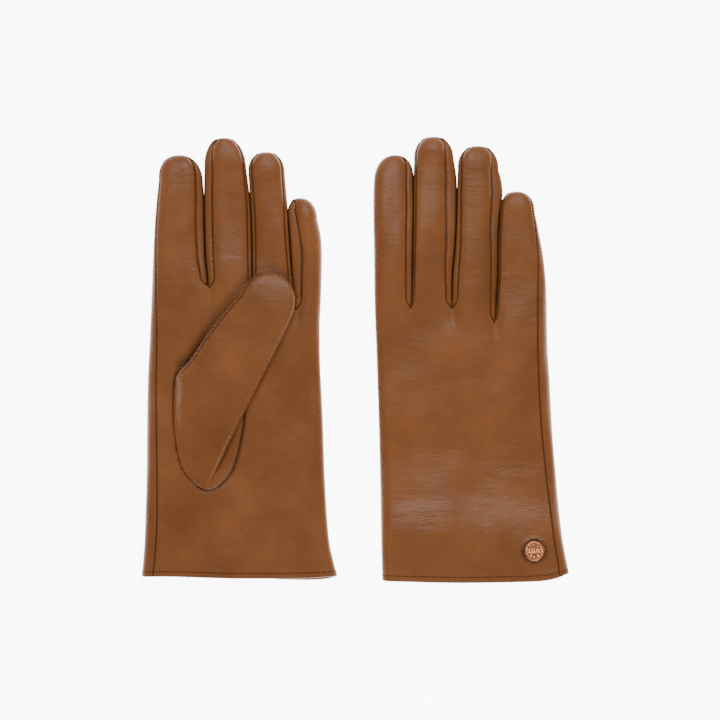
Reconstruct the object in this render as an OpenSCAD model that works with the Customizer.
// A pair of lined leather gloves lying side by side: the left one palm up with its thumb
// folded over the palm, the right one palm down with its thumb folded under it.
// X runs across the pair, Y from the cuffs to the fingertips, Z up from the table.
// Every layer is a plan outline with a depth range: depth 0 is the palm's outer face and
// depth glove_h the back's. Fingers run index, middle, ring, little.

/* [Hand] */
// Length from the cuff to the fold of the first three fingers
hand_length = 184; // [165:1:222]
// How much nearer the cuff the little finger folds
little_fold_drop = 11; // [6:0.5:16]
// Thickness of the glove as it lies, outer face to outer face
glove_h = 9; // [7.5:0.1:14]

/* [Leather and lining] */
// Thickness of the leather
leather_t = 0.7; // [0.5:0.05:1]
// Thickness of the lining
lining_t = 0.6; // [0.4:0.05:0.9]
// Gap between leather and lining
lining_gap = 0.1; // [0.05:0.05:0.3]
// Depth of the leather turned in at the cuff
hem_depth = 12; // [8:0.5:20]

/* [Fingers] */
// Gap between neighbouring fingers
finger_gap = 1; // [0.8:0.05:1.5]
// Gap between the hand and a finger at its fold
fold_gap = 0.5; // [0.4:0.05:0.8]
// Widths of the left fingers as they lie
left_widths = [29, 25.6, 20.9, 17.5]; // [14:0.1:35]
// Widths of the right fingers as they lie
right_widths = [21.6, 21.7, 24.9, 26.4]; // [14:0.1:35]
// Lengths of the left fingers past their folds
left_lengths = [58, 67.5, 59.5, 44]; // [38:0.5:85]
// Lengths of the right fingers past their folds
right_lengths = [58, 68.5, 63, 48.5]; // [38:0.5:85]
// How far the slits between fingers run below the fold on the palm
palm_slits = [18, 18, 30]; // [14:0.5:36]
// How far the slits between fingers run below the fold on the back
back_slits = [29, 29, 38]; // [18:0.5:46]

/* [Thumb] */
// Thickness of the folded thumb
thumb_h = 7; // [6.8:0.1:10]
// Gap between the thumb and the palm it lies on
thumb_gap = 0.3; // [0.3:0.05:0.8]
// Radius of the thumb where it bends
thumb_root_r = 19.5; // [17:0.5:23]
// Radius of the thumb's tip
thumb_tip_r = 12.5; // [10:0.5:15]
// Distance from the bend to the centre of the tip
thumb_reach = 46.5; // [38:0.5:48]
// Half length and half width of the thumb hole
thumb_hole = [20, 37]; // [17:0.5:45]
// Gap between the thumb and its base at the bend
thumb_bend_gap = 0.4; // [0.3:0.05:0.8]

/* [Seams and emblem] */
// Width of a seam's thread
thread_w = 0.5; // [0.4:0.05:0.8]
// Depth of the groove that a thread fills
thread_depth = 0.3; // [0.2:0.05:0.4]
// Distance from the cuff's edge to the hem stitching
hem_stitch_y = 3; // [2:0.5:6]
// Distance from a side to the side seam
side_seam_inset = 4; // [3:0.5:6]
// Diameter of the metal emblem
emblem_d = 12.4; // [9:0.1:15]
// Thickness of the metal emblem
emblem_t = 0.9; // [0.6:0.1:1.4]
// Distance from the cuff's edge to the emblem's centre
emblem_y = 17.6; // [12:0.1:22]
// Distance from the glove's side to the emblem's centre
emblem_inset = 17.6; // [14:0.1:24]

/* [Lay] */
// Distance between the two gloves' centre lines
pair_pitch = 129.2; // [126:0.1:150]
// Height of the right fingertips over the table
tip_lift = 3; // [1:0.5:5]

/* [Hidden] */
$fn = 48;
LEFT = 0;
RIGHT = 1;
SIDES = ["left", "right"];
FINGERS = ["index", "middle", "ring", "little"];
FINGER_PARTS = ["palm", "back", "fourchettes", "lining"];
HAND_PARTS = ["palm_panel", "back_panel", "fork_gussets", "hem", "hand_lining", "hem_thread",
              "side_thread", "thumb_seam_thread", "thumb_base", "thumb_base_lining", "thumb", "thumb_lining"];

widths = [left_widths, right_widths];
lengths = [left_lengths, right_lengths];
// Where each hand's index side lies at the fold, from the glove's centre line.
hand_start = [-47.7, -51.1];
// Sideways flare of the hand's two sides: [share of hand_length, distance out from the fold's edge].
index_flare = [
    [[0, 6.5], [0.27, 4], [0.55, 3.4], [0.85, 1], [1, 0]],
    [[0, -4.6], [0.25, -3.4], [0.55, -2.2], [0.85, -0.2], [1, 0]]];
little_flare = [
    [[0, 7.3], [0.08, 5.7], [0.17, 3.4], [0.27, 1.7], [0.54, 0], [0.68, -1.1], [0.85, -0.6], [1, 0]],
    [[0, 12.5], [0.08, 11], [0.22, 7.9], [0.4, 4.1], [0.54, 2.9], [0.7, 1.3], [0.8, 0.1], [1, 0]]];
// Sideways lean of each fingertip and its width as a share of the finger's width at the fold.
tip_lean = [[0.5, -2.1, -2.3, -2], [-0.6, 0.3, 0.9, -2.5]];
tip_taper = [[0.89, 0.93, 0.91, 0.88], [0.96, 1, 0.94, 0.7]];
// Heights up a hand's sides, as shares of hand_length, at which they change direction.
side_stations = [0, 0.08, 0.17, 0.27, 0.4, 0.54, 0.68, 0.8, 0.85, 1];
// Thumb, from the glove's centre line and the cuff: its bend, its direction and the hole's centre.
thumb_bend = [-2.8, hand_length - 62.5];
thumb_angle = 57;
hole_centre = [-15.3, hand_length - 96];
// A point on the edge where the thumb folds back over its base, and the edge's direction.
fold_edge_foot = [-17, hand_length - 131.7];
fold_edge_angle = 62.4;
// The base stops this far below the bend, so that the thumb can swing past it.
thumb_swing_room = 5;
thumb_seam_inset = 1;
emblem_post_r = 1.2;
emblem_washer_r = 4;
emblem_washer_t = 0.4;
emblem_bevel = 0.3;
emblem_clear = 1;
washer_clear = 0.3;
seam_end = 1;
lining_start = hem_depth + 0.2;
tip_steps = 16;

little_fold = hand_length - little_fold_drop;
folds = [hand_length, hand_length, hand_length, little_fold];
lining_in = leather_t + lining_gap;
cavity_in = lining_in + lining_t;
thumb_out = thumb_gap + thumb_h;
// The right glove rides on its thumb, and rises between its emblem and its thumb hole.
rise = thumb_out;
rise_start = emblem_y + emblem_d / 2 + emblem_clear;
rise_end = hole_centre[1] - thumb_hole[1];
reach = hand_length + max(max(left_lengths), max(right_lengths));
far = 300;
over = 2;
leather_colour = "#9a5f3a";
lining_colour = "#6b4a35";
thread_colour = "#4a2a18";
metal_colour = "#d59a7c";

// ---- Places ----

function sum_to(list, n) = n <= 0 ? 0 : list[n - 1] + sum_to(list, n - 1);
// Left and right edge of finger k at its fold.
function finger_left(g, k) = hand_start[g] + sum_to(widths[g], k) + k * finger_gap;
function finger_right(g, k) = finger_left(g, k) + widths[g][k];
function index_edge(g, y) = finger_left(g, 0) - lookup(y / hand_length, index_flare[g]);
function little_edge(g, y) = finger_right(g, 3) + lookup(y / hand_length, little_flare[g]);
// Height of the right palm's outer face over the table, as points along the glove.
lift_points = [
    [-far, 0], [rise_start, 0], [rise_end, rise], [hand_length, rise], [reach, tip_lift], [far, tip_lift]];
function arc_points(c, r, a0, a1, n) =
    [for (i = [0:n]) c + r * [cos(a0 + (a1 - a0) * i / n), sin(a0 + (a1 - a0) * i / n)]];
function ellipse_points(c, rx, ry, n) =
    [for (i = [0:n - 1]) c + [rx * cos(360 * i / n), ry * sin(360 * i / n)]];
thumb_tip = thumb_bend + thumb_reach * [cos(thumb_angle), sin(thumb_angle)];
emblem_at = [little_edge(RIGHT, emblem_y) - emblem_inset, emblem_y];

// ---- Layers ----

// A plan outline between depths d0 and d1 of glove g. The left glove lies flat and palm up.
module layer(g, d0, d1) {
    if (g == LEFT)
        translate([0, 0, glove_h - d1]) linear_extrude(d1 - d0) children();
    else
        intersection() {
            translate([0, 0, -far / 2]) linear_extrude(far) children();
            band(d0, d1);
        }
}

// The slab between two depths of the right glove, which rises over its thumb.
module band(d0, d1) {
    low = [for (p = lift_points) p + [0, d0]];
    high = [for (i = [len(lift_points) - 1:-1:0]) lift_points[i] + [0, d1]];
    rotate([90, 0, 90]) linear_extrude(far, center = true) polygon(concat(low, high));
}

// A flat layer of the thumb, which lies on the palm's outer face, between two distances from it.
module thumb_layer(g, out0, out1) {
    z0 = g == LEFT ? glove_h + out0 : rise - out1;
    translate([0, 0, z0]) linear_extrude(out1 - out0) children();
}

// Puts a glove drawn about its own centre line into the pair.
module in_pair(g) {
    translate([(g == LEFT ? -1 : 1) * pair_pitch / 2 + pair_shift, -reach / 2, 0]) children();
}
pair_left = index_edge(LEFT, 0) - pair_pitch / 2;
pair_right = little_edge(RIGHT, 0) + pair_pitch / 2;
pair_shift = -(pair_left + pair_right) / 2;

// ---- Plan outlines ----

// The hand from the cuff to the folds, taken in by inset on its sides and slits, with its open
// ends run on by past, and its slits cut to the depths in slits.
module hand_plan(g, inset, slits, past = 0) {
    ys = side_stations * hand_length;
    index_side = [for (y = ys) [index_edge(g, y) + inset, y]];
    step_x = (finger_right(g, 2) + finger_left(g, 3)) / 2;
    little_side = [
        for (i = [len(ys) - 1:-1:0]) if (ys[i] < little_fold) [little_edge(g, ys[i]) - inset, ys[i]]];
    difference() {
        polygon(concat(
            past > 0 ? [[index_edge(g, 0) + inset, -past]] : [],
            index_side,
            [[index_edge(g, hand_length) + inset, hand_length + past],
             [step_x, hand_length + past],
             [step_x, little_fold + past],
             [little_edge(g, little_fold) - inset, little_fold + past]],
            little_side,
            past > 0 ? [[little_edge(g, 0) - inset, -past]] : []));
        for (k = [0:2])
            slit(g, k, inset, hand_length - slits[k]);
    }
}

// The slit between fingers k and k + 1 from y up, widened by inset.
module slit(g, k, inset, y) {
    x0 = finger_right(g, k) - inset;
    translate([x0, y - inset]) square([finger_left(g, k + 1) + inset - x0, far]);
}

// The strip along one side of the hand between two insets.
module side_strip(g, little, in0, in1, y0, y1) {
    inner = [for (y = side_stations * hand_length) if (y > y0 && y < y1) y];
    all = concat([y0], inner, [y1]);
    edge = little ? [for (y = all) little_edge(g, y)] : [for (y = all) index_edge(g, y)];
    s = little ? -1 : 1;
    n = len(all) - 1;
    polygon(concat(
        [for (i = [0:n]) [edge[i] + s * in0, all[i]]],
        [for (i = [n:-1:0]) [edge[i] + s * in1, all[i]]]));
}

// Finger k from its fold to its rounded tip, taken in by inset, its open end run on by past.
module finger_plan(g, k, inset, past = 0) {
    y0 = folds[k] + fold_gap;
    tip_w = widths[g][k] * tip_taper[g][k] / 2;
    r = tip_w - inset;
    cx = (finger_left(g, k) + finger_right(g, k)) / 2 + tip_lean[g][k];
    cy = folds[k] + lengths[g][k] - tip_w;
    polygon(concat(
        past > 0 ? [[finger_left(g, k) + inset, y0 - past]] : [],
        [[finger_left(g, k) + inset, y0]],
        [for (i = [0:tip_steps]) [cx - r * cos(180 * i / tip_steps), cy + r * sin(180 * i / tip_steps)]],
        [[finger_right(g, k) - inset, y0]],
        past > 0 ? [[finger_right(g, k) - inset, y0 - past]] : []));
}

function tip_start(g, k) = folds[k] + lengths[g][k] - widths[g][k] * tip_taper[g][k] / 2;

// The free thumb: two circles and the lines that touch both, taken in by inset.
module thumb_plan(inset) {
    r0 = thumb_root_r - inset;
    r1 = thumb_tip_r - inset;
    a = acos((r0 - r1) / thumb_reach);
    polygon(concat(
        arc_points(thumb_tip, r1, thumb_angle - a, thumb_angle + a, 20),
        arc_points(thumb_bend, r0, thumb_angle + a, thumb_angle + 360 - a, 28)));
}

// The free thumb's hollow, which is open towards the hand.
module thumb_hollow_plan(inset) {
    thumb_plan(inset);
    translate(thumb_bend) rotate(thumb_angle)
        translate([-thumb_root_r - over, -thumb_root_r + inset])
            square([thumb_root_r + over, 2 * (thumb_root_r - inset)]);
}

module hole_plan(grow = 0) {
    polygon(ellipse_points(hole_centre, thumb_hole[0] + grow, thumb_hole[1] + grow, 40));
}

// The part of the hole on the thumb's side of its fold edge, taken in by inset.
module folded_plan(inset) {
    intersection() {
        hole_plan(-inset);
        translate(fold_edge_foot) rotate(fold_edge_angle)
            translate([-far / 2, inset]) square([far, far / 2]);
    }
}

// The thumb's base, between the hole's rim, the thumb's fold edge and the bend.
module thumb_base_plan(inset) {
    difference() {
        folded_plan(inset);
        translate(thumb_bend) circle(thumb_root_r + thumb_bend_gap);
        translate([-far / 2, thumb_bend[1] - thumb_swing_room]) square(far);
    }
}

// The flat part of the base, in the hole beyond the fold edge and under the bend.
module thumb_gusset_plan() {
    difference() {
        hole_plan();
        intersection() {
            folded_plan(leather_t);
            translate([-far / 2, thumb_bend[1] - thumb_swing_room - leather_t - far]) square(far);
        }
    }
}

// ---- The hand's leather ----

module palm_panel(g) {
    color(leather_colour) difference() {
        union() {
            layer(g, 0, leather_t) hand_plan(g, 0, palm_slits);
            layer(g, 0, glove_h - leather_t) side_strip(g, true, 0, leather_t, 0, little_fold);
        }
        layer(g, -over, glove_h / 2) hole_plan();
        hem_groove(g, -over, thread_depth);
        layer(g, -over, thread_depth) side_seam_plan(g, false);
        layer(g, -over, thread_depth) thumb_seam_plan();
    }
}

module back_panel(g) {
    color(leather_colour) difference() {
        union() {
            layer(g, glove_h - leather_t, glove_h) hand_plan(g, 0, back_slits);
            layer(g, leather_t, glove_h) side_strip(g, false, 0, leather_t, 0, hand_length);
        }
        hem_groove(g, glove_h - thread_depth, glove_h + over);
        layer(g, glove_h - thread_depth, glove_h + over) side_seam_plan(g, true);
        if (g == RIGHT)
            layer(g, glove_h / 2, glove_h + over) translate(emblem_at) circle(emblem_post_r);
    }
}

// The three U-shaped ends of the fourchettes, in the forks between the fingers.
module fork_gussets(g) {
    color(leather_colour) layer(g, leather_t, glove_h - leather_t)
        for (k = [0:2])
            difference() {
                y = hand_length - back_slits[k] - leather_t;
                x0 = finger_right(g, k) - leather_t;
                x1 = finger_left(g, k + 1) + leather_t;
                mid = (x0 + x1) / 2;
                union() {
                    translate([x0, y]) square([mid - x0, folds[k] - y]);
                    translate([mid, y]) square([x1 - mid, folds[k + 1] - y]);
                }
                slit(g, k, 0, hand_length - back_slits[k]);
            }
}

// The leather turned in at the cuff.
module hem(g) {
    color(leather_colour) difference() {
        layer(g, leather_t, glove_h - leather_t) hem_plan(g, leather_t, 0);
        layer(g, 2 * leather_t, glove_h - 2 * leather_t) hem_plan(g, 2 * leather_t, over);
    }
}

module hem_plan(g, inset, past) {
    intersection() {
        hand_plan(g, inset, back_slits, past);
        translate([-far / 2, -over]) square([far, hem_depth + over + past]);
    }
}

// ---- The hand's lining ----

module hand_lining(g) {
    color(lining_colour) difference() {
        layer(g, lining_in, glove_h - lining_in) lining_plan(g, lining_in, 0);
        layer(g, cavity_in, glove_h - cavity_in) lining_plan(g, cavity_in, over);
        layer(g, 0, glove_h / 2) hole_plan(-lining_in);
        if (g == RIGHT)
            layer(g, glove_h - leather_t - emblem_washer_t - lining_gap, glove_h)
                translate(emblem_at) circle(emblem_washer_r + washer_clear);
    }
}

module lining_plan(g, inset, past) {
    difference() {
        hand_plan(g, inset, back_slits, past);
        translate([-far / 2, -far]) square([far, far + lining_start - past]);
    }
}

// ---- Threads of the hand ----

module hem_groove(g, d0, d1) {
    layer(g, d0, d1) translate([-far / 2, hem_stitch_y]) square([far, thread_w]);
}

module hem_thread(g) {
    for (d = [0, glove_h - thread_depth])
        color(thread_colour) layer(g, d, d + thread_depth) intersection() {
            hand_plan(g, 0, back_slits);
            translate([-far / 2, hem_stitch_y]) square([far, thread_w]);
        }
}

module side_seam_plan(g, little) {
    side_strip(g, little, side_seam_inset, side_seam_inset + thread_w,
               hem_stitch_y + 2 * thread_w, (little ? little_fold : hand_length) - seam_end);
}

module side_thread(g) {
    color(thread_colour) {
        layer(g, 0, thread_depth) side_seam_plan(g, false);
        layer(g, glove_h - thread_depth, glove_h) side_seam_plan(g, true);
    }
}

module thumb_seam_plan() {
    difference() {
        hole_plan(thumb_seam_inset + thread_w);
        hole_plan(thumb_seam_inset);
    }
}

module thumb_seam_thread(g) {
    color(thread_colour) layer(g, 0, thread_depth) thumb_seam_plan();
}

// ---- Thumb ----

// The thumb's base lies over the hole and carries the thumb's leather from the seam to the bend.
module thumb_base(g) {
    color(leather_colour) {
        difference() {
            thumb_layer(g, 0, thumb_out) thumb_base_plan(0);
            thumb_layer(g, -over, thumb_out - leather_t) folded_plan(leather_t);
        }
        thumb_layer(g, -leather_t, 0) thumb_gusset_plan();
    }
}

module thumb_base_lining(g) {
    color(lining_colour) difference() {
        thumb_layer(g, 0, thumb_out - lining_in) thumb_base_plan(lining_in);
        thumb_layer(g, -over, thumb_out - cavity_in) folded_plan(cavity_in);
    }
}

module thumb(g) {
    color(leather_colour) difference() {
        thumb_layer(g, thumb_gap, thumb_out) thumb_plan(0);
        thumb_layer(g, thumb_gap + leather_t, thumb_out - leather_t) thumb_hollow_plan(leather_t);
    }
}

module thumb_lining(g) {
    color(lining_colour) difference() {
        thumb_layer(g, thumb_gap + lining_in, thumb_out - lining_in) thumb_plan(lining_in);
        thumb_layer(g, thumb_gap + cavity_in, thumb_out - cavity_in) thumb_hollow_plan(cavity_in);
    }
}

// ---- Fingers ----

// The wall of finger k, leather_t thick, between y0 and y1.
module finger_wall_plan(g, k, y0, y1) {
    intersection() {
        difference() {
            finger_plan(g, k, 0);
            finger_plan(g, k, leather_t, over);
        }
        translate([-far / 2, y0]) square([far, y1 - y0]);
    }
}

// The half plane to the index side or the little side of finger k's middle.
module half_plan(g, k, little) {
    mid = (finger_left(g, k) + finger_right(g, k)) / 2 + tip_lean[g][k] / 2;
    translate([little ? mid : mid - far, 0]) square([far, far]);
}

// The palm side of a finger, which also closes its tip. The little finger's wraps round the outside.
module finger_palm(g, k) {
    color(leather_colour) {
        layer(g, 0, leather_t) finger_plan(g, k, 0);
        layer(g, 0, glove_h - leather_t) finger_wall_plan(g, k, tip_start(g, k), far);
        if (k == 3)
            layer(g, 0, glove_h - leather_t) intersection() {
                finger_wall_plan(g, k, 0, tip_start(g, k) + 0.01);
                half_plan(g, k, true);
            }
    }
}

// The back of a finger. The index finger's wraps round the outside.
module finger_back(g, k) {
    color(leather_colour) {
        layer(g, glove_h - leather_t, glove_h) finger_plan(g, k, 0);
        if (k == 0)
            layer(g, leather_t, glove_h) intersection() {
                finger_wall_plan(g, k, 0, tip_start(g, k));
                half_plan(g, k, false);
            }
    }
}

// The side strips of a finger that face its neighbours.
module finger_fourchettes(g, k) {
    color(leather_colour) layer(g, leather_t, glove_h - leather_t)
        intersection() {
            finger_wall_plan(g, k, 0, tip_start(g, k));
            if (k == 0) half_plan(g, k, true);
            else if (k == 3) half_plan(g, k, false);
            else translate([-far / 2, 0]) square([far, far]);
        }
}

module finger_lining(g, k) {
    color(lining_colour) difference() {
        layer(g, lining_in, glove_h - lining_in) finger_plan(g, k, lining_in);
        layer(g, cavity_in, glove_h - cavity_in) finger_plan(g, k, cavity_in, over);
    }
}

// ---- Emblem ----

// The metal emblem's face and the post that goes through the leather.
module emblem() {
    color(metal_colour) translate([emblem_at[0], emblem_at[1], glove_h]) {
        cylinder(h = emblem_t - emblem_bevel, d = emblem_d);
        translate([0, 0, emblem_t - emblem_bevel])
            cylinder(h = emblem_bevel, d1 = emblem_d, d2 = emblem_d - 3 * emblem_bevel);
        translate([0, 0, -leather_t - emblem_washer_t])
            cylinder(h = leather_t + emblem_washer_t, r = emblem_post_r);
    }
}

// The washer behind the leather that holds the emblem.
module emblem_washer() {
    color(metal_colour)
        translate([emblem_at[0], emblem_at[1], glove_h - leather_t - emblem_washer_t])
            difference() {
                cylinder(h = emblem_washer_t, r = emblem_washer_r);
                translate([0, 0, -over]) cylinder(h = 2 * over, r = emblem_post_r);
            }
}

// ---- Drawing ----

module hand_part(g, part) {
    if (part == "palm_panel") palm_panel(g);
    if (part == "back_panel") back_panel(g);
    if (part == "fork_gussets") fork_gussets(g);
    if (part == "hem") hem(g);
    if (part == "hand_lining") hand_lining(g);
    if (part == "hem_thread") hem_thread(g);
    if (part == "side_thread") side_thread(g);
    if (part == "thumb_seam_thread") thumb_seam_thread(g);
    if (part == "thumb_base") thumb_base(g);
    if (part == "thumb_base_lining") thumb_base_lining(g);
    if (part == "thumb") thumb(g);
    if (part == "thumb_lining") thumb_lining(g);
}

module finger_part(g, k, part) {
    if (part == "palm") finger_palm(g, k);
    if (part == "back") finger_back(g, k);
    if (part == "fourchettes") finger_fourchettes(g, k);
    if (part == "lining") finger_lining(g, k);
}

for (g = [LEFT, RIGHT]) {
    for (part = HAND_PARTS)
        in_pair(g) hand_part(g, part);
    for (k = [0:3], part = FINGER_PARTS)
        in_pair(g) finger_part(g, k, part);
}
in_pair(RIGHT) emblem();
in_pair(RIGHT) emblem_washer();
